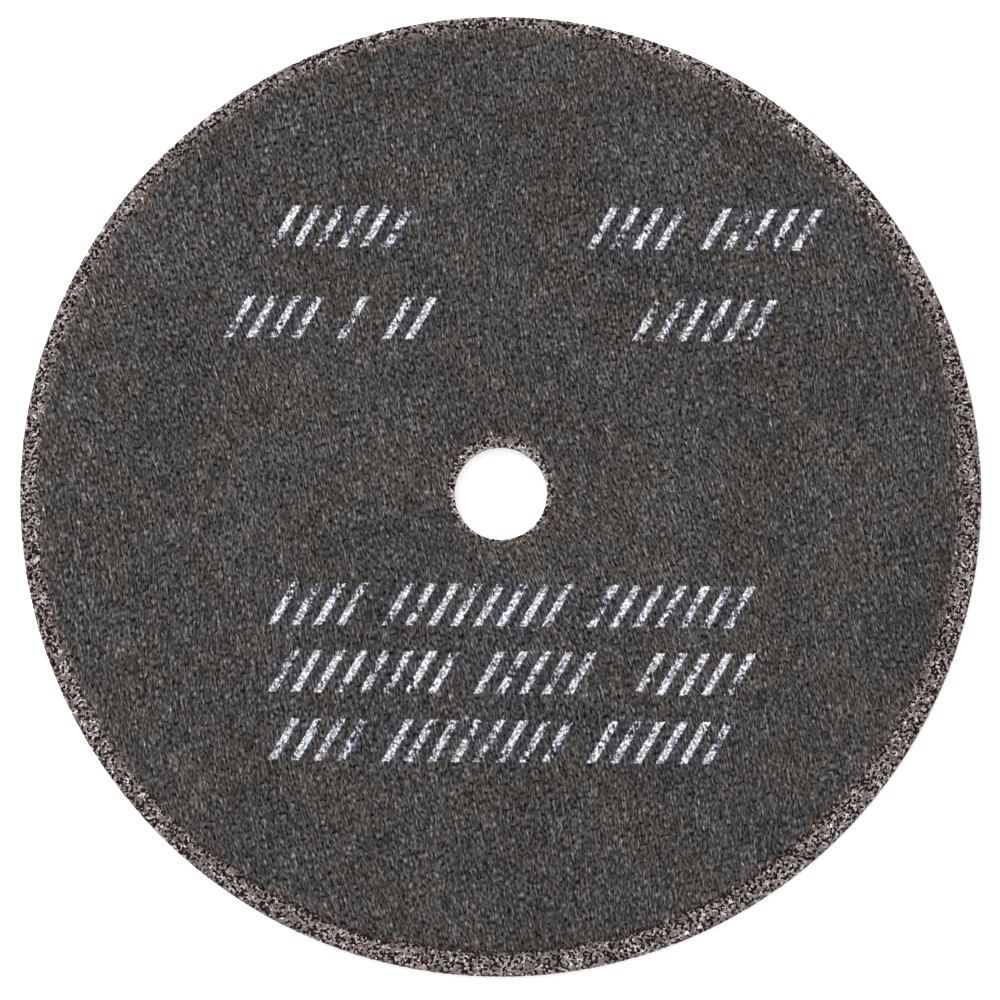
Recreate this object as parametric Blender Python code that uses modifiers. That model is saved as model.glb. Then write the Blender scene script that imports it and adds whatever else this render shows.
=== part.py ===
"""Cut-off wheel: a thin flat disc of resin-bonded grit, hot-pressed in one piece.

Both sides carry a fibre facing that is moulded into the disc and stops short of
the rim and of the bore, so a band of bare grit shows along both edges. The front
facing was pressed a little off centre. The wheel lies on its back facing, its
axis along +Z and its front facing up, with the axis through the origin.
"""

import bpy
from math import cos, pi, radians, sin

MM = 0.001

# Driving sizes, in millimetres.
WHEEL_DIAMETER = 101.6
BORE_DIAMETER = 9.7
WHEEL_THICKNESS = 1.6
FACING_THICKNESS = 0.12

# Widths of the bare grit between the facings and the two edges.
RIM_BAND = 1.85
BORE_BAND = 0.75

# The facings' edges slope down to the grit over this width.
FACING_TAPER = 0.2
FRONT_FACING_SHIFT = 0.5
BACK_FACING_SHIFT = 0.0

# Radii of the trued corners at the rim and in the bore.
RIM_ROUND = 0.35
BORE_ROUND = 0.15

# How far a facing's solid reaches into the grit that it is joined to.
FACING_ROOT = 0.3

SEGMENTS = 144
RIM_ROUND_STEPS = 4
BORE_ROUND_STEPS = 3
MERGE_DISTANCE = 1e-6

GRIT_COLOUR = (0.172, 0.152, 0.147, 1.0)
FACING_COLOUR = (0.077, 0.072, 0.071, 1.0)
GRIT_ROUGHNESS = 0.75
FACING_ROUGHNESS = 0.85


def clear_scene():
    for obj in list(bpy.data.objects):
        bpy.data.objects.remove(obj, do_unlink=True)


def new_collection(name):
    collection = bpy.data.collections.new(name)
    bpy.context.scene.collection.children.link(collection)
    return collection


def new_material(name, colour, roughness):
    material = bpy.data.materials.new(name)
    material.use_nodes = True
    shader = material.node_tree.nodes["Principled BSDF"]
    shader.inputs["Base Color"].default_value = colour
    shader.inputs["Roughness"].default_value = roughness
    shader.inputs["Metallic"].default_value = 0.0
    material.diffuse_color = colour
    return material


def rounded_corner(centre_r, centre_z, radius, start_deg, end_deg, steps):
    """Points of an arc in the section, from one angle to the other."""
    points = []
    for i in range(steps + 1):
        angle = radians(start_deg + (end_deg - start_deg) * i / steps)
        points.append((centre_r + radius * cos(angle), centre_z + radius * sin(angle)))
    return points


def grit_section():
    """The disc without its facings, from the top of the rim round to the top of the bore."""
    rim_r = WHEEL_DIAMETER / 2
    bore_r = BORE_DIAMETER / 2
    low = FACING_THICKNESS
    high = WHEEL_THICKNESS - FACING_THICKNESS
    rim_centre = rim_r - RIM_ROUND
    bore_centre = bore_r + BORE_ROUND
    section = rounded_corner(rim_centre, high - RIM_ROUND, RIM_ROUND, 90, 0, RIM_ROUND_STEPS)
    section += rounded_corner(rim_centre, low + RIM_ROUND, RIM_ROUND, 0, -90, RIM_ROUND_STEPS)
    section += rounded_corner(bore_centre, low + BORE_ROUND, BORE_ROUND, 270, 180, BORE_ROUND_STEPS)
    section += rounded_corner(bore_centre, high - BORE_ROUND, BORE_ROUND, 180, 90, BORE_ROUND_STEPS)
    return section


def facing_section(face_z, root_z):
    """A facing, from its flat outer face at face_z to its root in the grit at root_z."""
    foot_outer = WHEEL_DIAMETER / 2 - RIM_BAND
    foot_inner = BORE_DIAMETER / 2 + BORE_BAND
    inward = FACING_THICKNESS if root_z < face_z else -FACING_THICKNESS
    foot_z = face_z - inward
    section = [
        (foot_outer - FACING_TAPER, face_z),
        (foot_outer, foot_z),
        (foot_outer, root_z),
        (foot_inner, root_z),
        (foot_inner, foot_z),
        (foot_inner + FACING_TAPER, face_z),
    ]
    return section if root_z < face_z else section[::-1]


def turned(name, section, material, collection):
    """A closed section turned about Z. It runs down its outer side, so the faces point out."""
    mesh = bpy.data.meshes.new(name)
    points = [(r * MM, 0.0, z * MM) for r, z in section]
    edges = [(i, (i + 1) % len(points)) for i in range(len(points))]
    mesh.from_pydata(points, edges, [])
    mesh.materials.append(material)
    obj = bpy.data.objects.new(name, mesh)
    collection.objects.link(obj)
    screw = obj.modifiers.new("turn", "SCREW")
    screw.axis = "Z"
    screw.angle = 2 * pi
    screw.steps = SEGMENTS
    screw.render_steps = SEGMENTS
    screw.use_smooth_shade = True
    screw.use_merge_vertices = True
    screw.merge_threshold = MERGE_DISTANCE
    return obj


def make_helper(obj):
    obj.hide_render = True
    obj.display_type = "WIRE"


def join_to(target, helper):
    """Unites a helper with the target and keeps the helper's own material on its faces."""
    union = target.modifiers.new("join_" + helper.name, "BOOLEAN")
    union.operation = "UNION"
    union.solver = "EXACT"
    union.material_mode = "TRANSFER"
    union.object = helper


def build_wheel():
    wheel_parts = new_collection("cutoff_wheel_parts")
    helpers = new_collection("facing_helpers")
    grit = new_material("bonded_grit", GRIT_COLOUR, GRIT_ROUGHNESS)
    fibre = new_material("fibre_facing", FACING_COLOUR, FACING_ROUGHNESS)

    wheel = turned("cutoff_wheel", grit_section(), grit, wheel_parts)
    front_root = WHEEL_THICKNESS - FACING_THICKNESS - FACING_ROOT
    back_root = FACING_THICKNESS + FACING_ROOT
    front = turned("front_facing", facing_section(WHEEL_THICKNESS, front_root), fibre, helpers)
    back = turned("back_facing", facing_section(0.0, back_root), fibre, helpers)
    front.location.y = FRONT_FACING_SHIFT * MM
    back.location.y = BACK_FACING_SHIFT * MM
    for facing in (front, back):
        make_helper(facing)
        join_to(wheel, facing)
    return wheel


clear_scene()
build_wheel()
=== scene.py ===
"""Looks of the cut-off wheel: coarse bonded grit between two pressed fibre facings.

The wheel lies on the floor with its front facing up. Each visible piece stands for
the one solid of the frame. Lengths are in millimetres until a mesh is made, and the
materials read the same millimetres from the attribute "place_mm" of each mesh.
"""

from math import ceil, cos, pi, radians, sin, tan

import bpy
import numpy as np
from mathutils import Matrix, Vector


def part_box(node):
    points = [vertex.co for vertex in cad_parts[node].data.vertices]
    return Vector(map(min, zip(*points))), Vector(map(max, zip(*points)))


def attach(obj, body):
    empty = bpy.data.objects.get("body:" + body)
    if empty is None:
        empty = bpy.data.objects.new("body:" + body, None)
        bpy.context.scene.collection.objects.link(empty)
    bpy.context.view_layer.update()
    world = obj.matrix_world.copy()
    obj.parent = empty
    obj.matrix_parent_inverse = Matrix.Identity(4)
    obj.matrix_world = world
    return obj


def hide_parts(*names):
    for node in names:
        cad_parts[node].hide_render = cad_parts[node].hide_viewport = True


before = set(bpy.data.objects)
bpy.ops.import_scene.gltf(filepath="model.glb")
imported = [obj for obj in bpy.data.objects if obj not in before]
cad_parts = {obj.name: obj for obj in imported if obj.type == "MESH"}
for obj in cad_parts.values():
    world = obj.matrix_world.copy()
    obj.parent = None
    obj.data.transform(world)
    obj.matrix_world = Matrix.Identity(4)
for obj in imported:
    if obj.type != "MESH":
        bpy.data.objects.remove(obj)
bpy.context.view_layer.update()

MM = 0.001
# A length in mm too short to matter.
SMALL = 0.001
NODE = "cutoff_wheel"
BODY = "root"

low_corner, high_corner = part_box(NODE)
RIM_RADIUS = (high_corner[0] - low_corner[0]) / 2 / MM
THICKNESS = (high_corner[2] - low_corner[2]) / MM

# The wheel's other sizes, as in the part's source.
BORE_DIAMETER = 9.7
FACING_THICKNESS = 0.12
RIM_BAND = 1.85
BORE_BAND = 0.75
FACING_TAPER = 0.2
FRONT_SHIFT = 0.5
BACK_SHIFT = 0.0
RIM_ROUND = 0.35
BORE_ROUND = 0.15
BORE_RADIUS = BORE_DIAMETER / 2
# Radii of the facings' feet, where their tapers meet the grit.
FOOT_OUTER = RIM_RADIUS - RIM_BAND
FOOT_INNER = BORE_RADIUS + BORE_BAND

# Grit: the size of its grains, the steepest slope of their tops, how much their levels
# differ, and how far the highest stand above the bands.
GRAIN_SIZE = 0.40
GRAIN_TILT = 0.42
GRAIN_LEVELS = 0.10
GRAIN_PEAK = 0.07
# Ripples in the grains' outlines: their size, and the width that they sway over.
RIPPLE_SIZE = 0.32
RIPPLE = 0.2
# Pits: the size of their noise, and their depth. The distance from a grain's middle, in
# grains, plus the noise times PIT_NOISE is low in a pit: below PIT_EDGE the grit is open, and
# above it solid.
PIT_SIZE = 0.27
PIT_DEPTH = 0.16
PIT_NOISE = 1.2
PIT_EDGE = (0.95, 1.12)
# The rim and the bore were trued, so their relief is this much of the bands'.
TRUED_RELIEF = 0.25

# Mesh spacing. The grit has this many columns round the rim and round the bore.
RIM_COLUMNS = 1920
BORE_COLUMNS = 240
GRIT_STEP = 0.155
# The facings have this many columns at their outer edge, halved twice on the way in.
FACING_COLUMNS = 864
FACING_STEP = 0.36
# How far the grit's fine surface and the facings' roots reach under the facings.
UNDERLAP = 0.6
FACING_ROOT = 0.1
# How far the facings' edges wander from their circles, over this many columns each way, and
# how far they lie in on one side.
EDGE_WANDER = 0.14
WANDER_COLUMNS = 2
EDGE_DENT = 0.35
DENT_DIRECTION = radians(-35)
# Slow relief of the pressed fibre: its size, how much it is squeezed along the fibres, its
# depth over the noise's usual range, and the value of the noise that moves nothing.
FELT_SIZE = 0.8
FELT_SQUEEZE = 0.3
FELT_DEPTH = 0.07
FELT_RANGE = 0.4
FELT_LEVEL = 0.7
# How far in from their edges the facings are warmer, with rusty flecks and worn spots.
EDGE_REACH = 2.5
# How far the grit takes painted shade beside a facing, and how far it is bright beside the bore.
FACING_SHADE_REACH = 0.5
BORE_FACING_SHADE_REACH = 0.35
BRIGHT_REACH = 0.5

# Fibres lean from upper left to lower right, each a little differently.
FIBRE_LEAN = radians(13)
FIBRE_LEAN_SPREAD = radians(15)
# Their lean sways in slow waves: the waves' height, and their length over 2 pi. Each wave has
# its run across and up the wheel, its phase and its share of the height.
SWAY = 0.7
SWAY_LENGTH = 9.0
SWAY_WAVES = ((0.4, 1.0, 0.0, 1.0), (0.9, -0.6, 2.0, 0.8))
# Loose fibres on each side: their number, lengths and widths, how far their middles rise above
# their ends and how far they reach into the facing.
FIBRE_COUNT = 13500
FIBRE_LENGTHS = (0.8, 2.6)
FIBRE_WIDTHS = (0.11, 0.21)
FIBRE_RISE = 0.05
FIBRE_ROOT = 0.05
# A fibre's ends have this share of its width, and it is bowed by about this share of its length.
FIBRE_TIP = 0.35
FIBRE_BOW = 0.06

# Printed marks: slanted strokes, in the places and rows of a printed wheel.
STROKE_HEIGHT = 4.4
STROKE_WIDTH = 0.85
STROKE_SOFTNESS = 0.15
HAZE_REACH = 0.5
STROKE_PITCH = 2.4
STROKE_SLANT = radians(30)
# The strokes' outlines are ragged: the noise's size, and the width that it sways them over.
RAGGED_SIZE = 0.2
RAGGED = 0.3
# The rows sink this much for each mm to the right.
PRINT_SINK = 0.009
# The print's material reaches this many strokes and this many mm past the patches.
PRINT_MARGIN = 1
# Each row: the height of its middle, then the first stroke and the number of strokes of each patch.
# Strokes are counted from the wheel's axis, to the right.
PRINT_ROWS = [
    (28.2, [(-10, 6), (4, 4), (9, 5)]),
    (18.5, [(-12, 4), (-7, 1), (-5, 2), (6, 6)]),
    (-11.8, [(-10, 4), (-5, 8), (4, 7)]),
    (-18.9, [(-10, 8), (-1, 5), (6, 5)]),
    (-26.1, [(-10, 4), (-5, 8), (4, 6)]),
]

# Slow tones of the facings: the stops of painted shade in the felt's hollows and painted light
# on its clumps, then the size and the stops of patches and of wide clouds, and how much those
# are squeezed along the fibres. Last the size of the changes of hue.
FELT_SHADE_STOPS = 1.5
CLOUDS = ((2.6, 0.5), (12.0, 0.9))
CLOUD_SQUEEZE = 0.6
HUE_SIZE = 9.0
# Streaks of the facings: the size across the fibres, the squeeze along them and the share of
# the short and of the long ones, then the middle of their sum and its contrast in stops.
SHORT_STREAK = (0.22, 0.42, 0.52)
LONG_STREAK = (0.21, 0.08, 0.48)
STREAK_MIDDLE = 0.515
# The contrast holds the fibres' own tones, with painted shade between them and painted light on their
# tops.
STREAK_CONTRAST = 9.8
# Height of the streaks in the bump.
STREAK_HEIGHT = 0.25
# Small holes of painted shade and bright bits of painted glints between the streaks: their size
# and squeeze, then the range of the noise that holds each, and their tones in stops.
SPOT_SIZE = 0.27
SPOT_SQUEEZE = 0.6
SHADE_HOLE_RANGE = (0.28, 0.42)
SHADE_HOLE_TONE = (-2.4, 0.1)
GLINT_RANGE = (0.72, 0.86)
GLINT_TONE = 1.4
# Single fibres: how many stops a fibre's own tone counts for, and the noise over it: its
# size, the value that changes nothing and its contrast in stops.
OWN_TONE = 0.5
FIBRE_NOISE_SIZE = 0.28
FIBRE_MIDDLE = 0.6
FIBRE_CONTRAST = 3.0
# Patches of hue are this much slow hue, quick hue and nearness to an edge. The quick hue has
# this size and squeeze, and bluish gives way to brownish over the last range.
PATCH_SHARES = (0.55, 0.45, 0.08)
QUICK_SIZE = 0.65
QUICK_SQUEEZE = 0.5
PATCH_RANGE = (0.4, 0.6)
# Grit shows through a worn edge: the size of its marks, the range of the noise, how near the
# edge, and its share, which rises from the first to the second between two places across.
WORN_SIZE = 0.27
WORN_RANGE = (0.50, 0.58)
WORN_NEAR = (0.86, 1.0)
WORN_ACROSS = (5.0, 35.0)
WORN_SHARE = (0.15, 0.5)
# Painted shade along a facing's lower edge: how near the edge, and the two places up the
# wheel between which it fades from its strength to none.
LOW_EDGE_SHADE_NEAR = (0.89, 0.97)
LOW_EDGE_SHADE_UP = (-45.0, -15.0)
LOW_EDGE_SHADE_STRENGTH = 0.75
# Rusty flecks: their size and squeeze, how near the edge, and the range of the noise. They
# fade in over the first share of a fleck and turn pale over the second.
FLECK_SIZE = 0.42
FLECK_SQUEEZE = 0.5
FLECK_NEAR = (0.7, 1.0)
FLECK_RANGE = (0.64, 0.74)
FLECK_FADE = (0.0, 0.4)
FLECK_CORE = (0.5, 1.0)
# Ink holds where the streak, the wear and the missed patches, each times its factor, add up
# to enough: it starts to hold at the first value of HOLD_RANGE. It is pale where it is thick.
INK_STREAK = 0.8
WEAR_SIZE = 0.5
WEAR = 0.9
MISSED_SIZE = 2.2
MISSED = 0.7
HOLD_RANGE = (0.98, 1.26)
THICK_SIZE = 0.32
THICK_RANGE = (0.34, 0.66)
# On a fibre its own tone, times the first and plus the second, stands in for the streak.
LIFTED = (0.05, 0.54)
# The grit's fine shading: its size, the range that darkens, and its height in the bump. A
# higher power makes pale grains rarer. Then how bright the grit is beside the bore and how
# much painted shade it takes beside a facing. Over the two ranges of how solid the grit is, resin
# turns from painted shade deep in a pit to its edge's colour, and gives way to grain.
FINE_SIZE = 0.13
FINE_RANGE = (0.36, 0.66)
FINE_HEIGHT = 0.06
PALE_POWER = 1.8
BORE_BRIGHTNESS = 0.3
FACING_SHADE_STRENGTH = 0.35
PIT_SHADE_RANGE = (0.05, 0.5)
GRAIN_RANGE = (0.35, 0.9)

# Colours: linear red, green and blue, and full cover.
DARK_GRAIN = (0.14, 0.116, 0.109, 1.0)
PALE_GRAIN = (0.80, 0.735, 0.715, 1.0)
SHADED_GRAIN = (0.09, 0.069, 0.062, 1.0)
BRIGHT_GRAIN = (0.75, 0.71, 0.70, 1.0)
# Grit at the foot of a facing's edge, darkened with painted shade.
FACING_SHADE_GRAIN = (0.055, 0.034, 0.027, 1.0)
# Resin deep in the pits, darkened with painted shade.
PIT_SHADE_RESIN = (0.002, 0.001, 0.001, 1.0)
RESIN = (0.018, 0.007, 0.005, 1.0)
RESIN_EDGE = (0.055, 0.027, 0.019, 1.0)
BLUISH = (0.0442, 0.0431, 0.0463, 1.0)
BROWNISH = (0.0513, 0.0458, 0.0413, 1.0)
WORN_GRIT = (0.30, 0.26, 0.245, 1.0)
# Painted shade along a facing's lower edge.
LOW_EDGE_SHADE = (0.022, 0.015, 0.013, 1.0)
DARK_FLECK = (0.065, 0.039, 0.029, 1.0)
PALE_FLECK = (0.19, 0.135, 0.097, 1.0)
THIN_INK = (0.17, 0.18, 0.20, 1.0)
THICK_INK = (0.66, 0.68, 0.71, 1.0)
# The ink's haze multiplies the facing's colour.
HAZE_TINT = (0.95, 1.02, 1.25)
WHITE = (1.0, 1.0, 1.0, 1.0)
BOARD = ((0.92, 0.92, 0.92, 1.0), (0.94, 0.94, 0.94, 1.0))

# The floor, in metres: half its width, and the size of its tooth. It lies this many mm under
# the wheel, clear of the lowest fibres, and glows this much.
FLOOR_HALF = 3.0
TOOTH_SIZE = 0.002
FLOOR_GAP = 0.02
FLOOR_GLOW = 0.25
# The sky, and the softbox: its place and width in metres and its power in watts.
SKY_STRENGTH = 1.12
KEY_PLACE = (-0.42, 0.46, 0.5)
KEY_WIDTH = 0.35
KEY_POWER = 6.5

# Camera: the photograph's scale at the wheel, its distance and its slight tilt.
PHOTO_PIXELS = 1000
MM_PER_PIXEL = 0.1055
CAMERA_DISTANCE = 385.0
CAMERA_TILT = radians(3)
SENSOR_WIDTH = 36.0
# The place on the wheel's face that the camera looks at.
AIM_X = -0.07
AIM_Y = -0.71


class Graph:
    """Adds nodes to a shader's or a geometry tree and joins their sockets."""

    def __init__(self, tree):
        self.tree = tree

    def add(self, kind, inputs=None, **settings):
        """A new node. Each input is a socket to join from or a plain value."""
        node = self.tree.nodes.new(kind)
        for name, value in settings.items():
            setattr(node, name, value)
        for key, value in (inputs or {}).items():
            if isinstance(value, bpy.types.NodeSocket):
                self.tree.links.new(value, node.inputs[key])
            else:
                node.inputs[key].default_value = value
        return node

    def math(self, operation, a, b=0.0):
        return self.add("ShaderNodeMath", {0: a, 1: b}, operation=operation).outputs[0]

    def vector(self, operation, a, b):
        node = self.add("ShaderNodeVectorMath", {0: a, 1: b}, operation=operation)
        return node.outputs["Value" if operation == "DOT_PRODUCT" else "Vector"]

    def scaled(self, vector, factor):
        node = self.add("ShaderNodeVectorMath", {0: vector, "Scale": factor}, operation="SCALE")
        return node.outputs["Vector"]

    def spread(self, value, middle, factor):
        """How far the value lies above the middle, times the factor."""
        return self.math("MULTIPLY", self.math("SUBTRACT", value, middle), factor)

    def total(self, first, *others):
        """The sum of values, each given with the factor that it is multiplied by."""
        result = self.math("MULTIPLY", *first)
        for value, factor in others:
            result = self.math("ADD", result, self.math("MULTIPLY", value, factor))
        return result

    def ramp(self, value, start, end, low=0.0, high=1.0):
        """A smooth step from low at start to high at end."""
        inputs = {"Value": value, "From Min": start, "From Max": end, "To Min": low, "To Max": high}
        return self.add("ShaderNodeMapRange", inputs, interpolation_type="SMOOTHSTEP").outputs["Result"]

    def mix(self, factor, a, b):
        """A mix of two colours, each a socket or four numbers."""
        return self.add("ShaderNodeMix", {0: factor, 6: a, 7: b}, data_type="RGBA").outputs[2]

    def compare(self, value, middle, reach):
        """1 where the value is within reach of the middle, 0 elsewhere."""
        inputs = {0: value, 1: middle, 2: reach}
        return self.add("ShaderNodeMath", inputs, operation="COMPARE").outputs[0]

    def noise(self, place, size, detail=2.0, roughness=0.5, output="Fac"):
        inputs = {"Vector": place, "Scale": 1 / size, "Detail": detail, "Roughness": roughness}
        return self.add("ShaderNodeTexNoise", inputs).outputs[output]

    def attribute(self, name, output="Fac"):
        """A number that a mesh keeps for each point, or a "Vector", in a shader's tree."""
        return self.add("ShaderNodeAttribute", attribute_name=name).outputs[output]


def ring(radius, height, columns, centre_y=0.0):
    """Points round a circle that lies flat at a height."""
    angle = np.linspace(0, 2 * pi, columns, endpoint=False)
    flat = [radius * np.cos(angle), centre_y + radius * np.sin(angle)]
    return np.column_stack(flat + [np.full(columns, float(height))])


def rings_between(first, last, step):
    """Rings evenly spaced from the first to the last, without the last."""
    gap = np.linalg.norm(last - first, axis=1).max()
    count = max(1, ceil(gap / step))
    return [first + (last - first) * i / count for i in range(count)]


def rings_round(centre_r, centre_z, radius, start_deg, end_deg, columns, step):
    """Rings round a corner's arc, without the last."""
    count = max(1, ceil(abs(radians(end_deg - start_deg)) * radius / step))
    rings = []
    for i in range(count):
        angle = radians(start_deg + (end_deg - start_deg) * i / count)
        rings.append(ring(centre_r + radius * cos(angle), centre_z + radius * sin(angle), columns))
    return rings


def joined(start_a, count_a, start_b, count_b):
    """Faces between two rings, where the larger count is a multiple of the smaller."""
    faces = []
    if count_a == count_b:
        for i in range(count_a):
            k = (i + 1) % count_a
            faces.append((start_a + i, start_b + i, start_b + k, start_a + k))
        return faces
    flip = count_a < count_b
    many, few = (start_b, start_a) if flip else (start_a, start_b)
    total, ratio = max(count_a, count_b), max(count_a, count_b) // min(count_a, count_b)
    for j in range(total // ratio):
        near = few + j
        following = few + (j + 1) % (total // ratio)
        for i in range(ratio):
            outer = many + j * ratio + i
            outer_next = many + (j * ratio + i + 1) % total
            faces.append((near, outer, outer_next) if flip else (near, outer_next, outer))
        corner = many + ((j + 1) * ratio) % total
        faces.append((near, corner, following) if flip else (near, following, corner))
    return faces


def mesh_piece(name, points, faces):
    """An object from points in mm. Its attribute "place_mm" keeps them for the materials."""
    points = np.asarray(points, dtype=float)
    mesh = bpy.data.meshes.new(name)
    mesh.from_pydata((points * MM).tolist(), [], faces)
    mesh.polygons.foreach_set("use_smooth", np.full(len(mesh.polygons), True))
    places = mesh.attributes.new("place_mm", "FLOAT_VECTOR", "POINT")
    places.data.foreach_set("vector", points.ravel())
    mesh.update()
    piece = bpy.data.objects.new(name, mesh)
    bpy.context.scene.collection.objects.link(piece)
    return piece


def skinned(name, rings):
    """A closed piece through rings, each joined to the next and the last to the first."""
    starts = np.cumsum([0] + [len(points) for points in rings])
    faces = []
    for i, points in enumerate(rings):
        k = (i + 1) % len(rings)
        faces += joined(int(starts[i]), len(points), int(starts[k]), len(rings[k]))
    return mesh_piece(name, np.vstack(rings), faces)


def set_floats(piece, name, values):
    """Keeps a number for each point, such as "relief": how much of the relief the point takes."""
    data = piece.data.attributes.new(name, "FLOAT", "POINT").data
    data.foreach_set("value", np.asarray(values, dtype=float))


def sway(x, y):
    """How far the fibres are pushed aside at a place, in mm, by slow waves."""
    total = 0.0
    for run_x, run_y, phase, share in SWAY_WAVES:
        total += share * np.sin((run_x * x + run_y * y) / SWAY_LENGTH + phase)
    return SWAY * total


def comb(piece):
    """Keeps each point's place across and along the fibres in mm, as "comb_mm"."""
    places = np.empty(len(piece.data.vertices) * 3)
    piece.data.attributes["place_mm"].data.foreach_get("vector", places)
    x, y = places.reshape(-1, 3)[:, :2].T
    across = x * cos(FIBRE_LEAN) + y * sin(FIBRE_LEAN) + sway(x, y)
    along = y * cos(FIBRE_LEAN) - x * sin(FIBRE_LEAN)
    data = piece.data.attributes.new("comb_mm", "FLOAT_VECTOR", "POINT").data
    data.foreach_set("vector", np.column_stack([across, along, np.zeros(len(x))]).ravel())


def shaken(graph, place, size, amount):
    """The place moved a little by noise, so that outlines come out uneven."""
    push = graph.noise(place, size, detail=0.0, output="Color")
    push = graph.scaled(graph.vector("SUBTRACT", push, (0.5, 0.5, 0.5)), amount)
    return graph.vector("ADD", place, push)


def grain_field(graph, place):
    """Grains of grit at a place in mm: height in mm, how solid the grit is there
    (0 in a pit, 1 on a grain), and a random number for each grain."""
    place = shaken(graph, place, RIPPLE_SIZE, RIPPLE)
    cells = graph.add("ShaderNodeTexVoronoi", {"Vector": place, "Scale": 1 / GRAIN_SIZE})
    tilt = graph.vector("SUBTRACT", cells.outputs["Color"], (0.5, 0.5, 0.5))
    offset = graph.vector("SUBTRACT", place, cells.outputs["Position"])
    facet = graph.math("MULTIPLY", graph.vector("DOT_PRODUCT", offset, tilt), GRAIN_TILT * 2)
    split = graph.add("ShaderNodeSeparateXYZ", {0: cells.outputs["Color"]})
    level = graph.spread(split.outputs[0], 0.5, GRAIN_LEVELS)
    uneven = graph.math("MULTIPLY", graph.noise(place, PIT_SIZE, detail=0.0), PIT_NOISE)
    solid = graph.ramp(graph.math("ADD", cells.outputs["Distance"], uneven), *PIT_EDGE)
    gap = graph.spread(solid, 1.0, PIT_DEPTH)
    height = graph.math("ADD", graph.math("ADD", facet, level), gap)
    return height, solid, split.outputs[2]


def squeezed(graph, combed, factor):
    """A place among the fibres, squeezed along them so that marks come out longer: at a
    factor of a half, twice as long."""
    return graph.vector("MULTIPLY", combed, (1.0, factor, 0.0))


def felt_field(graph, combed):
    """The facing's slow relief from 0 to 1: clumps of pressed fibre."""
    return graph.noise(squeezed(graph, combed, FELT_SQUEEZE), FELT_SIZE, detail=2.0, roughness=0.6)


def felt_shade_and_clouds(graph, combed):
    """Slow changes of tone over the facing, in stops: painted shade in the felt's hollows and painted
    light on its clumps, then patches and wide clouds.
    """
    # Darker where the felt's relief is low and lighter where it is high: painted shade and painted light.
    tone = graph.spread(felt_field(graph, combed), 0.5, FELT_SHADE_STOPS)
    for size, stops in CLOUDS:
        cloud = graph.noise(squeezed(graph, combed, CLOUD_SQUEEZE), size, detail=1.0)
        tone = graph.math("ADD", tone, graph.spread(cloud, 0.5, stops))
    return tone


def hues(graph, combed):
    """Slow changes from bluish at 0 to brownish at 1."""
    return graph.noise(combed, HUE_SIZE, detail=2.0)


def displaced(piece, field, place_name="place_mm", kept=()):
    """Moves a piece's points by a field of their place in mm, times their relief weights.
    The piece keeps each other field as a number for each point, under its name."""
    tree = bpy.data.node_groups.new("relief", "GeometryNodeTree")
    tree.interface.new_socket("Geometry", in_out="INPUT", socket_type="NodeSocketGeometry")
    tree.interface.new_socket("Geometry", in_out="OUTPUT", socket_type="NodeSocketGeometry")
    graph = Graph(tree)
    start = graph.add("NodeGroupInput")
    place = graph.add("GeometryNodeInputNamedAttribute", {"Name": place_name}, data_type="FLOAT_VECTOR")
    weight = graph.add("GeometryNodeInputNamedAttribute", {"Name": "relief"}, data_type="FLOAT")
    offset = field(graph, place.outputs["Attribute"])
    shift = graph.scaled(offset, graph.math("MULTIPLY", weight.outputs["Attribute"], MM))
    last = graph.add("GeometryNodeSetPosition", {"Geometry": start.outputs[0], "Offset": shift})
    for name, other in kept:
        value = other(graph, place.outputs["Attribute"])
        inputs = {"Geometry": last.outputs[0], "Name": name, "Value": value}
        last = graph.add("GeometryNodeStoreNamedAttribute", inputs, data_type="FLOAT", domain="POINT")
    graph.add("NodeGroupOutput", {0: last.outputs[0]})
    piece.modifiers.new("relief", "NODES").node_group = tree
    depsgraph = bpy.context.evaluated_depsgraph_get()
    shaped = bpy.data.meshes.new_from_object(
        piece.evaluated_get(depsgraph), preserve_all_data_layers=True, depsgraph=depsgraph)
    piece.modifiers.clear()
    piece.data = shaped
    bpy.data.node_groups.remove(tree)


def grain_offset(graph, place):
    """Grit moves along its normal, and its highest grains reach the solid's surface."""
    height = grain_field(graph, place)[0]
    normal = graph.add("GeometryNodeInputNormal").outputs[0]
    return graph.scaled(normal, graph.math("MINIMUM", height, GRAIN_PEAK))


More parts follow.
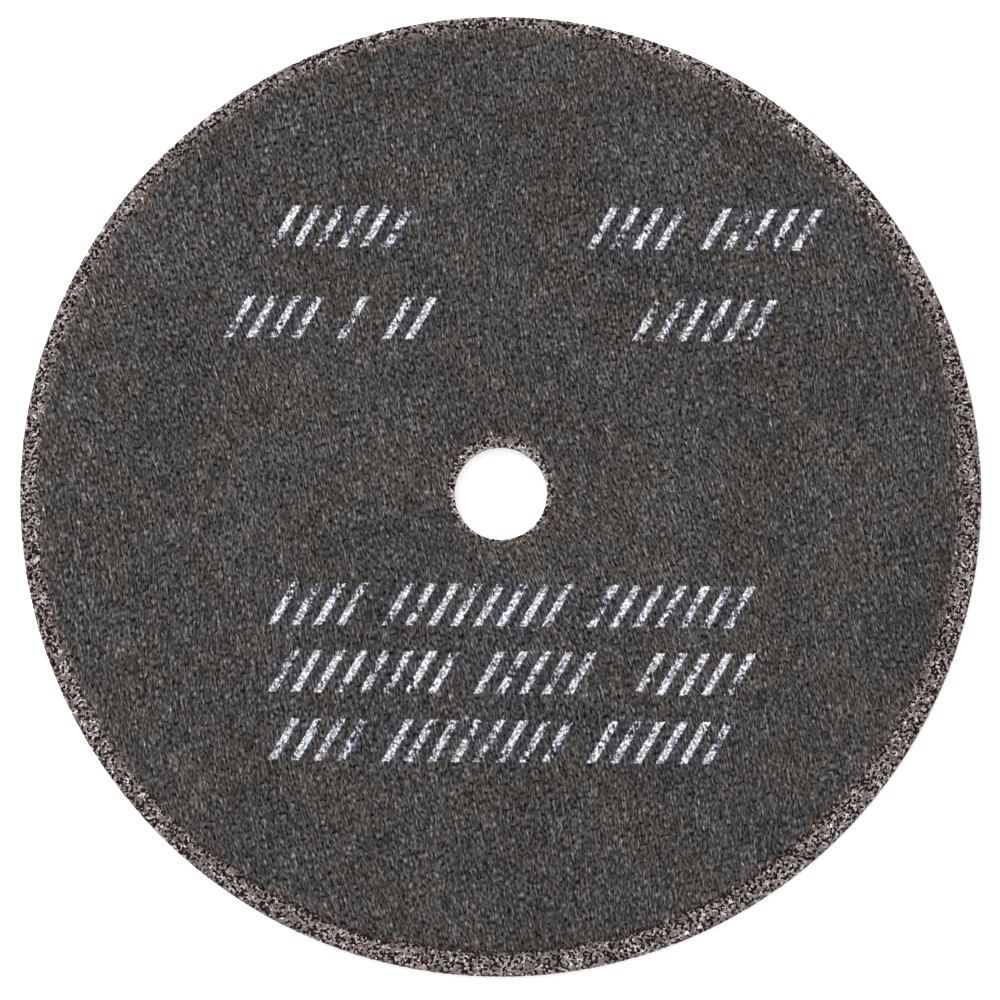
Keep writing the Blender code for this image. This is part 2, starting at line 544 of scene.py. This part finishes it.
def build_grit():
    """The disc of grit, with its fine surface at both bands, on the rim and in the bore."""
    low = FACING_THICKNESS
    high = THICKNESS - FACING_THICKNESS
    rim_r = RIM_RADIUS - GRAIN_PEAK * TRUED_RELIEF
    bore_r = BORE_RADIUS + GRAIN_PEAK * TRUED_RELIEF
    hidden_outer = FOOT_OUTER - UNDERLAP
    hidden_inner = FOOT_INNER + UNDERLAP
    rim_centre = rim_r - RIM_ROUND
    bore_centre = bore_r + BORE_ROUND

    rings = rings_between(ring(hidden_outer, high, RIM_COLUMNS, FRONT_SHIFT),
                          ring(rim_centre, high, RIM_COLUMNS), GRIT_STEP)
    rings += rings_round(rim_centre, high - RIM_ROUND, RIM_ROUND, 90, 0, RIM_COLUMNS, GRIT_STEP)
    rings += rings_between(ring(rim_r, high - RIM_ROUND, RIM_COLUMNS),
                           ring(rim_r, low + RIM_ROUND, RIM_COLUMNS), GRIT_STEP)
    rings += rings_round(rim_centre, low + RIM_ROUND, RIM_ROUND, 0, -90, RIM_COLUMNS, GRIT_STEP)
    rings += rings_between(ring(rim_centre, low, RIM_COLUMNS),
                           ring(hidden_outer, low, RIM_COLUMNS, BACK_SHIFT), GRIT_STEP)
    rings.append(ring(hidden_outer, low, RIM_COLUMNS, BACK_SHIFT))
    last_rim_ring = len(rings) - 1
    rings += rings_between(ring(hidden_inner, low, BORE_COLUMNS, BACK_SHIFT),
                           ring(bore_centre, low, BORE_COLUMNS), GRIT_STEP)
    rings += rings_round(bore_centre, low + BORE_ROUND, BORE_ROUND, 270, 180, BORE_COLUMNS, GRIT_STEP)
    rings += rings_between(ring(bore_r, low + BORE_ROUND, BORE_COLUMNS),
                           ring(bore_r, high - BORE_ROUND, BORE_COLUMNS), GRIT_STEP)
    rings += rings_round(bore_centre, high - BORE_ROUND, BORE_ROUND, 180, 90, BORE_COLUMNS, GRIT_STEP)
    rings += rings_between(ring(bore_centre, high, BORE_COLUMNS),
                           ring(hidden_inner, high, BORE_COLUMNS, FRONT_SHIFT), GRIT_STEP)
    rings.append(ring(hidden_inner, high, BORE_COLUMNS, FRONT_SHIFT))

    piece = skinned("grit_body", rings)
    hidden = {0, last_rim_ring, last_rim_ring + 1, len(rings) - 1}
    weights = []
    for i, points in enumerate(rings):
        reach = np.hypot(points[:, 0], points[:, 1])
        trued = (reach > rim_centre + SMALL) | (reach < bore_centre - SMALL)
        weights.append(np.where(trued, TRUED_RELIEF, 0.0 if i in hidden else 1.0))
    set_floats(piece, "relief", np.concatenate(weights))
    displaced(piece, grain_offset)
    piece.data.materials.append(grit_material())
    return piece


def dent(angle):
    """How far in a facing's outer edge lies, most of all at the lower right."""
    return EDGE_DENT * np.maximum(0.0, np.cos(angle - DENT_DIRECTION)) ** 2


def wander(columns, seed):
    """How far an edge strays from its circle at each column: random steps, smoothed, and its dent."""
    steps = np.random.default_rng(seed).normal(size=columns)
    near = range(-WANDER_COLUMNS, WANDER_COLUMNS + 1)
    smooth = sum(np.roll(steps, k) for k in near) / len(near) ** 0.5
    return EDGE_WANDER * smooth - dent(np.linspace(0, 2 * pi, columns, endpoint=False))


def strayed(points, stray, shift):
    """Ring points moved out from the ring's centre."""
    centred = points - (0.0, shift, 0.0)
    reach = np.hypot(centred[:, 0], centred[:, 1])
    moved = points.copy()
    moved[:, :2] += centred[:, :2] * (stray / reach)[:, None]
    return moved


def facing_rings(face_z, foot_z, root_z, shift, seed):
    """Rings of a facing: up its inner taper, out over its face and down its outer taper."""
    face_outer = FOOT_OUTER - FACING_TAPER
    face_inner = FOOT_INNER + FACING_TAPER
    inner_columns = FACING_COLUMNS // 4
    zones = [
        (face_inner, face_outer / 4, inner_columns),
        (face_outer / 4, face_outer / 2, inner_columns * 2),
    ]
    rings = [ring(FOOT_INNER, height, inner_columns, shift) for height in (root_z, foot_z)]
    for start, end, columns in zones:
        rings += rings_between(ring(start, face_z, columns, shift),
                               ring(end, face_z, columns, shift), FACING_STEP)
    stray = wander(FACING_COLUMNS, seed)
    edge = []
    for radius, height in ((face_outer, face_z), (FOOT_OUTER, foot_z), (FOOT_OUTER, root_z)):
        edge.append(strayed(ring(radius, height, FACING_COLUMNS, shift), stray, shift))
    rings += rings_between(ring(face_outer / 2, face_z, FACING_COLUMNS, shift), edge[0], FACING_STEP)
    return rings + edge


def felt_offset(graph, combed):
    """The facing moves up and down only."""
    up = graph.spread(felt_field(graph, combed), FELT_LEVEL, FELT_DEPTH / FELT_RANGE)
    return graph.add("ShaderNodeCombineXYZ", {2: up}).outputs[0]


def felted(piece, materials):
    """Gives a facing or its fibres the relief of pressed fibre, slow tones with painted shade in its
    hollows, and the materials.
    The second material, where there is one, goes to the faces under the printed patches."""
    comb(piece)
    # The slow tones, with painted shade in the felt's hollows, are kept as "cloud".
    displaced(piece, felt_offset, "comb_mm", [("cloud", felt_shade_and_clouds), ("hue", hues)])
    for material in materials:
        piece.data.materials.append(material)
    if len(materials) > 1:
        piece.data.polygons.foreach_set("material_index", under_print(piece.data).astype(int))


def under_print(mesh):
    """Which faces lie under the printed patches or close to them."""
    centres = np.empty(len(mesh.polygons) * 3)
    mesh.polygons.foreach_get("center", centres)
    x, y = centres.reshape(-1, 3)[:, :2].T / MM
    under = np.zeros(len(x), dtype=bool)
    for row_y, patches in PRINT_ROWS:
        above = y - row_y + x * PRINT_SINK
        count = (x - above * tan(STROKE_SLANT)) / STROKE_PITCH
        for first, strokes in patches:
            beside = (count > first - PRINT_MARGIN) & (count < first + strokes + PRINT_MARGIN)
            under |= beside & (abs(above) < STROKE_HEIGHT / 2 + PRINT_MARGIN)
    return under


def build_facing(name, seed, face_z, outward, shift, materials):
    """A facing, pressed a fibre's height below the solid's face so that loose fibres lie on it."""
    foot_z = face_z - outward * FACING_THICKNESS
    root_z = foot_z - outward * FACING_ROOT
    rings = facing_rings(face_z - outward * FIBRE_RISE, foot_z, root_z, shift, seed)
    fixed = {0, 1, len(rings) - 2, len(rings) - 1}
    weights = [np.full(len(points), float(i not in fixed)) for i, points in enumerate(rings)]
    if outward < 0:
        rings = rings[::-1]
        weights = weights[::-1]
    piece = skinned(name, rings)
    set_floats(piece, "relief", outward * np.concatenate(weights))
    felted(piece, materials)
    return piece


def lay_fibres(name, seed, face_z, outward, shift, materials):
    """Loose fibres pressed into a facing: short bent prisms, tapered at both ends."""
    chance = np.random.default_rng(seed)
    inner = FOOT_INNER + FACING_TAPER
    outer = FOOT_OUTER - FACING_TAPER
    radius = np.sqrt(chance.uniform(inner ** 2, outer ** 2, FIBRE_COUNT))
    around = chance.uniform(0, 2 * pi, FIBRE_COUNT)
    radius -= dent(around) * radius / outer
    x, y = radius * np.cos(around), shift + radius * np.sin(around)
    lean = chance.normal(FIBRE_LEAN, FIBRE_LEAN_SPREAD, FIBRE_COUNT)
    # The fibres turn with the sway, by its slope over 1 mm.
    lean += sway(x, y + 0.5) - sway(x, y - 0.5)
    length = chance.uniform(*FIBRE_LENGTHS, FIBRE_COUNT)
    length = np.minimum(length, 2 * (radius - inner + FACING_TAPER))
    width = chance.uniform(*FIBRE_WIDTHS, FIBRE_COUNT)
    bow = chance.normal(0, FIBRE_BOW, FIBRE_COUNT) * length
    tone = chance.normal(0, 1, FIBRE_COUNT)

    middle = np.column_stack([x, y])
    along = np.column_stack([-np.sin(lean), np.cos(lean)])
    across = np.column_stack([np.cos(lean), np.sin(lean)])
    # Each station's place along the fibre, and its shares of the bow, the width and the rise.
    stations = [(-0.5, 0.0, FIBRE_TIP, 0.0), (0.0, 1.0, 1.0, 1.0), (0.5, 0.0, FIBRE_TIP, 0.0)]
    # Each corner of the section: its place across the fibre, and 1 where it is the top.
    corners = [(-0.5, 0.0), (0.5, 0.0), (0.0, 1.0)]
    points = np.empty((FIBRE_COUNT, len(stations), len(corners), 3))
    for s, (way, bowed, fullness, rise) in enumerate(stations):
        spine = middle + along * (way * length)[:, None] + across * (bowed * bow)[:, None]
        for c, (side, up) in enumerate(corners):
            points[:, s, c, :2] = spine + across * (side * fullness * width)[:, None]
            height = up * (FIBRE_ROOT + FIBRE_RISE * rise) - FIBRE_ROOT - FIBRE_RISE
            points[:, s, c, 2] = face_z + outward * height

    faces = []
    corner_count = len(corners)
    size = len(stations) * corner_count
    for base in range(0, FIBRE_COUNT * size, size):
        for start in range(base, base + size - corner_count, corner_count):
            for c in range(corner_count):
                a, b = start + c, start + (c + 1) % corner_count
                faces.append((a, b, b + corner_count, a + corner_count))
        faces.append((base + 2, base + 1, base))
        faces.append((base + size - 3, base + size - 2, base + size - 1))
    if outward > 0:
        faces = [face[::-1] for face in faces]
    piece = mesh_piece(name, points.reshape(-1, 3), faces)
    set_floats(piece, "relief", np.full(FIBRE_COUNT * size, outward))
    set_floats(piece, "tone", np.repeat(tone, size))
    felted(piece, materials)
    return piece


def new_material(name, roughness, specular):
    """A new material, the graph of its nodes and its shader."""
    material = bpy.data.materials.new(name)
    material.use_nodes = True
    shader = material.node_tree.nodes["Principled BSDF"]
    shader.inputs["Roughness"].default_value = roughness
    shader.inputs["Specular IOR Level"].default_value = specular
    return material, Graph(material.node_tree), shader


def connect(graph, output, shader, name):
    graph.tree.links.new(output, shader.inputs[name])


def distance(graph, place, centre_y):
    """How far a place lies from an upright axis at centre_y."""
    flat = graph.vector("MULTIPLY", place, (1.0, 1.0, 0.0))
    centred = graph.vector("SUBTRACT", flat, (0.0, centre_y, 0.0))
    return graph.add("ShaderNodeVectorMath", {0: centred}, operation="LENGTH").outputs["Value"]


def reach_in_facing(graph, place, shift):
    """How far a place lies from a facing's axis, with the dent on its side added, so that the
    facing's outer edge lies at the same value all round."""
    reach = distance(graph, place, shift)
    side = (cos(DENT_DIRECTION), sin(DENT_DIRECTION), 0.0)
    centred = graph.vector("SUBTRACT", place, (0.0, shift, 0.0))
    toward = graph.math("DIVIDE", graph.vector("DOT_PRODUCT", centred, side), reach)
    share = graph.math("POWER", graph.math("MAXIMUM", toward, 0.0), 2.0)
    added = graph.math("MULTIPLY", graph.math("MULTIPLY", share, reach), EDGE_DENT / RIM_RADIUS)
    return graph.math("ADD", reach, added)


def parts_of(graph, vector):
    """The vector's three numbers."""
    return graph.add("ShaderNodeSeparateXYZ", {0: vector}).outputs


def grit_material():
    """Pale broken grains in a dark red-brown resin, with open pits between them."""
    material, graph, shader = new_material("bonded_grit", roughness=0.5, specular=0.1)
    place = graph.attribute("place_mm", "Vector")
    height, solid, chance = grain_field(graph, place)
    fine = graph.noise(place, FINE_SIZE, detail=2.0, roughness=0.6)
    grain = graph.mix(graph.math("POWER", chance, PALE_POWER), DARK_GRAIN, PALE_GRAIN)
    grain = graph.mix(graph.ramp(fine, *FINE_RANGE), grain, SHADED_GRAIN)
    reach = distance(graph, place, 0.0)
    bright = graph.ramp(reach, BORE_RADIUS, BORE_RADIUS + BRIGHT_REACH, BORE_BRIGHTNESS, 0.0)
    grain = graph.mix(bright, grain, BRIGHT_GRAIN)
    # Painted shade on the grit at the foot of the facing's edges.
    facing_shade = graph.math("MULTIPLY", beside_facing(graph, place), FACING_SHADE_STRENGTH)
    grain = graph.mix(facing_shade, grain, FACING_SHADE_GRAIN)
    # Resin: its own dark red-brown, with painted shade where the fine relief is low and deep in the pits.
    resin = graph.mix(fine, PIT_SHADE_RESIN, RESIN)
    resin = graph.mix(graph.ramp(solid, *PIT_SHADE_RANGE), resin, RESIN_EDGE)
    connect(graph, graph.mix(graph.ramp(solid, *GRAIN_RANGE), resin, grain), shader, "Base Color")
    bump_height = graph.math("ADD", height, graph.math("MULTIPLY", fine, FINE_HEIGHT))
    bump = graph.add("ShaderNodeBump", {"Height": bump_height, "Distance": MM, "Strength": 1.0})
    connect(graph, bump.outputs[0], shader, "Normal")
    return material


def printed(graph, place):
    """Where ink lies, 1 on the slanted strokes of the printed patches, and its haze round them."""
    x, y = parts_of(graph, shaken(graph, place, RAGGED_SIZE, RAGGED))[:2]
    ink = 0.0
    haze = 0.0
    for row_y, patches in PRINT_ROWS:
        sunk = graph.math("SUBTRACT", row_y, graph.math("MULTIPLY", x, PRINT_SINK))
        above = graph.math("SUBTRACT", y, sunk)
        slant = graph.math("MULTIPLY", above, tan(STROKE_SLANT))
        count = graph.math("DIVIDE", graph.math("SUBTRACT", x, slant), STROKE_PITCH)
        inside = 0.0
        for first, strokes in patches:
            half = strokes / 2
            inside = graph.math("ADD", inside, graph.compare(count, first + half, half))
        off_middle = graph.math("ABSOLUTE", graph.math("SUBTRACT", graph.math("FRACT", count), 0.5))
        edge = (STROKE_WIDTH + STROKE_SOFTNESS) / STROKE_PITCH / 2
        core = (STROKE_WIDTH - STROKE_SOFTNESS) / STROKE_PITCH / 2
        stroke = graph.ramp(off_middle, core, edge, 1.0, 0.0)
        near = graph.ramp(off_middle, edge, edge + HAZE_REACH / STROKE_PITCH, 1.0, 0.0)
        row = graph.math("MULTIPLY", graph.compare(above, 0.0, STROKE_HEIGHT / 2), inside)
        ink = graph.math("ADD", ink, graph.math("MULTIPLY", row, stroke))
        haze = graph.math("ADD", haze, graph.math("MULTIPLY", row, near))
    return ink, haze


def beside_facing(graph, place):
    """1 on the grit right beside the front facing's edges, falling to 0 some way off."""
    reach = reach_in_facing(graph, place, FRONT_SHIFT)
    outer = graph.ramp(reach, FOOT_OUTER, FOOT_OUTER + FACING_SHADE_REACH, 1.0, 0.0)
    inner = graph.ramp(reach, FOOT_INNER - BORE_FACING_SHADE_REACH, FOOT_INNER)
    return graph.math("MULTIPLY", outer, inner)


def near_edges(graph, place, shift):
    """1 along the facing's two edges, falling to 0 some way in."""
    reach = reach_in_facing(graph, place, shift)
    outer = graph.ramp(reach, FOOT_OUTER - EDGE_REACH, FOOT_OUTER)
    inner = graph.ramp(reach, FOOT_INNER, FOOT_INNER + EDGE_REACH, 1.0, 0.0)
    return graph.math("ADD", outer, inner)


def facing_colour(graph, place, combed, tone, shift):
    """Charcoal in bluish and brownish patches, lighter or darker by a tone in stops. Along the
    facing's edges it has rusty flecks. The grit shows through the edge on the right, and the
    lower edge has painted shade."""
    near = near_edges(graph, place, shift)
    quick = graph.noise(squeezed(graph, combed, QUICK_SQUEEZE), QUICK_SIZE, detail=1.0)
    patch = graph.total(*zip((graph.attribute("hue"), quick, near), PATCH_SHARES))
    base = graph.mix(graph.ramp(patch, *PATCH_RANGE), BLUISH, BROWNISH)
    across, up = parts_of(graph, place)[:2]
    grit = graph.ramp(graph.noise(place, WORN_SIZE, detail=0.0), *WORN_RANGE)
    grit = graph.math("MULTIPLY", grit, graph.ramp(near, *WORN_NEAR))
    grit = graph.math("MULTIPLY", grit, graph.ramp(across, *WORN_ACROSS, *WORN_SHARE))
    base = graph.mix(grit, base, WORN_GRIT)
    # Painted shade along the facing's lower edge, fading out higher up the wheel.
    low = graph.ramp(up, *LOW_EDGE_SHADE_UP, LOW_EDGE_SHADE_STRENGTH, 0.0)
    base = graph.mix(graph.math("MULTIPLY", graph.ramp(near, *LOW_EDGE_SHADE_NEAR), low), base, LOW_EDGE_SHADE)
    spot = graph.noise(squeezed(graph, combed, FLECK_SQUEEZE), FLECK_SIZE, detail=0.0)
    rust = graph.math("MULTIPLY", graph.ramp(near, *FLECK_NEAR), graph.ramp(spot, *FLECK_RANGE))
    fleck = graph.mix(graph.ramp(rust, *FLECK_CORE), DARK_FLECK, PALE_FLECK)
    base = graph.mix(graph.ramp(rust, *FLECK_FADE), base, fleck)
    # The slow tones kept as "cloud" hold painted shade in the felt's hollows and painted light on its
    # clumps.
    tone = graph.math("ADD", tone, graph.attribute("cloud"))
    return graph.scaled(base, graph.math("POWER", 2.0, tone))


def with_ink(graph, place, base, streak):
    """The colour with the print over it, which has missed the gaps and worn off in patches."""
    strokes, haze = printed(graph, place)
    worn = graph.noise(place, WEAR_SIZE, detail=1.0)
    missed = graph.noise(place, MISSED_SIZE, detail=0.0)
    hold = graph.total((streak, INK_STREAK), (worn, WEAR), (missed, MISSED))
    amount = graph.math("MULTIPLY", strokes, graph.ramp(hold, *HOLD_RANGE))
    thick = graph.ramp(graph.noise(place, THICK_SIZE, detail=1.0), *THICK_RANGE)
    ink = graph.mix(thick, THIN_INK, THICK_INK)
    hazy = graph.vector("MULTIPLY", base, HAZE_TINT)
    return graph.mix(amount, graph.mix(haze, base, hazy), ink)


def facing_material(name, shift, has_print):
    """Pressed fibre: streaks along the lean in the fibres' own tones, with painted shade between the
    fibres and painted light on their tops.
    """
    material, graph, shader = new_material(name + "_print" * has_print, roughness=0.9, specular=0.03)
    place = graph.attribute("place_mm", "Vector")
    combed = graph.attribute("comb_mm", "Vector")
    short_size, short_squeeze, short_share = SHORT_STREAK
    long_size, long_squeeze, long_share = LONG_STREAK
    short = graph.noise(squeezed(graph, combed, short_squeeze), short_size, detail=0.0)
    long = graph.noise(squeezed(graph, combed, long_squeeze), long_size, detail=1.0)
    streak = graph.total((short, short_share), (long, long_share))
    spot = graph.noise(squeezed(graph, combed, SPOT_SQUEEZE), SPOT_SIZE, detail=0.0)
    # Small holes of painted shade between the fibres, and bright bits that are painted glints.
    shade_holes = graph.ramp(spot, *SHADE_HOLE_RANGE, *SHADE_HOLE_TONE)
    bright = graph.ramp(spot, *GLINT_RANGE, 0.0, GLINT_TONE)
    # The fibres' own tones, with painted shade between them and painted light on their tops.
    tone = graph.spread(streak, STREAK_MIDDLE, STREAK_CONTRAST)
    tone = graph.math("ADD", tone, graph.math("ADD", shade_holes, bright))
    base = facing_colour(graph, place, combed, tone, shift)
    if has_print:
        base = with_ink(graph, place, base, streak)
    connect(graph, base, shader, "Base Color")
    bump = graph.add("ShaderNodeBump", {"Height": streak, "Distance": STREAK_HEIGHT * MM, "Strength": 1.0})
    connect(graph, bump.outputs[0], shader, "Normal")
    return material


def fibre_material(name, shift, has_print):
    """Single fibres, each with its own tone."""
    material, graph, shader = new_material(name + "_print" * has_print, roughness=0.8, specular=0.06)
    place = graph.attribute("place_mm", "Vector")
    combed = graph.attribute("comb_mm", "Vector")
    own = graph.attribute("tone")
    fine = graph.spread(graph.noise(place, FIBRE_NOISE_SIZE, detail=1.0), FIBRE_MIDDLE, FIBRE_CONTRAST)
    tone = graph.math("ADD", graph.math("MULTIPLY", own, OWN_TONE), fine)
    base = facing_colour(graph, place, combed, tone, shift)
    if has_print:
        factor, middle = LIFTED
        lifted = graph.math("ADD", graph.math("MULTIPLY", own, factor), middle)
        base = with_ink(graph, place, base, lifted)
    connect(graph, base, shader, "Base Color")
    return material


def floor_material():
    """Pale matte board with a faint tooth, lit a little from below like a light table."""
    material, graph, shader = new_material("pale_board", roughness=0.9, specular=0.2)
    place = graph.add("ShaderNodeTexCoord").outputs["Object"]
    tooth = graph.noise(place, TOOTH_SIZE, detail=3.0)
    connect(graph, graph.mix(tooth, *BOARD), shader, "Base Color")
    shader.inputs["Emission Color"].default_value = WHITE
    shader.inputs["Emission Strength"].default_value = FLOOR_GLOW
    return material


def build_floor():
    mesh = bpy.data.meshes.new("floor")
    signs = [(-1, -1), (1, -1), (1, 1), (-1, 1)]
    corners = [(x * FLOOR_HALF, y * FLOOR_HALF, -FLOOR_GAP * MM) for x, y in signs]
    mesh.from_pydata(corners, [], [(0, 1, 2, 3)])
    floor = bpy.data.objects.new("floor", mesh)
    bpy.context.scene.collection.objects.link(floor)
    mesh.materials.append(floor_material())


def add_camera():
    """The photograph's view: from above, tilted a little towards the lower edge."""
    data = bpy.data.cameras.new("photo_camera")
    data.sensor_width = SENSOR_WIDTH
    data.lens = SENSOR_WIDTH * CAMERA_DISTANCE / (PHOTO_PIXELS * MM_PER_PIXEL)
    camera = bpy.data.objects.new("photo_camera", data)
    bpy.context.scene.collection.objects.link(camera)
    aim = Vector((AIM_X, AIM_Y, THICKNESS)) * MM
    backward = Vector((0.0, -sin(CAMERA_TILT), cos(CAMERA_TILT)))
    camera.location = aim + backward * CAMERA_DISTANCE * MM
    camera.rotation_euler = (CAMERA_TILT, 0.0, 0.0)
    bpy.context.scene.camera = camera


def add_softbox(name, location, size, power):
    """A square area light that faces the wheel."""
    data = bpy.data.lights.new(name, "AREA")
    data.size = size
    data.energy = power
    light = bpy.data.objects.new(name, data)
    bpy.context.scene.collection.objects.link(light)
    light.location = location
    light.rotation_euler = (-Vector(location)).to_track_quat("-Z", "Y").to_euler()


def add_light():
    world = bpy.data.worlds.new("studio")
    world.use_nodes = True
    background = world.node_tree.nodes["Background"]
    background.inputs["Color"].default_value = WHITE
    background.inputs["Strength"].default_value = SKY_STRENGTH
    bpy.context.scene.world = world
    add_softbox("key", KEY_PLACE, KEY_WIDTH, KEY_POWER)
    bpy.context.scene.view_settings.view_transform = "Standard"


add_camera()
add_light()
build_floor()

pieces = [build_grit()]
# Each side: its name, seed, face, outward direction, shift, and for each material if it has print.
sides = [
    ("front", 11, THICKNESS, 1.0, FRONT_SHIFT, (False, True)),
    ("back", 12, 0.0, -1.0, BACK_SHIFT, (False,)),
]
for side, seed, face_z, outward, shift, prints in sides:
    facing = [facing_material(side + "_facing", shift, has_print) for has_print in prints]
    fibre = [fibre_material(side + "_fibres", shift, has_print) for has_print in prints]
    pieces.append(build_facing(side + "_facing", seed, face_z, outward, shift, facing))
    pieces.append(lay_fibres(side + "_fibres", seed + 10, face_z, outward, shift, fibre))
for piece in pieces:
    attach(piece, BODY)
    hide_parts(NODE)
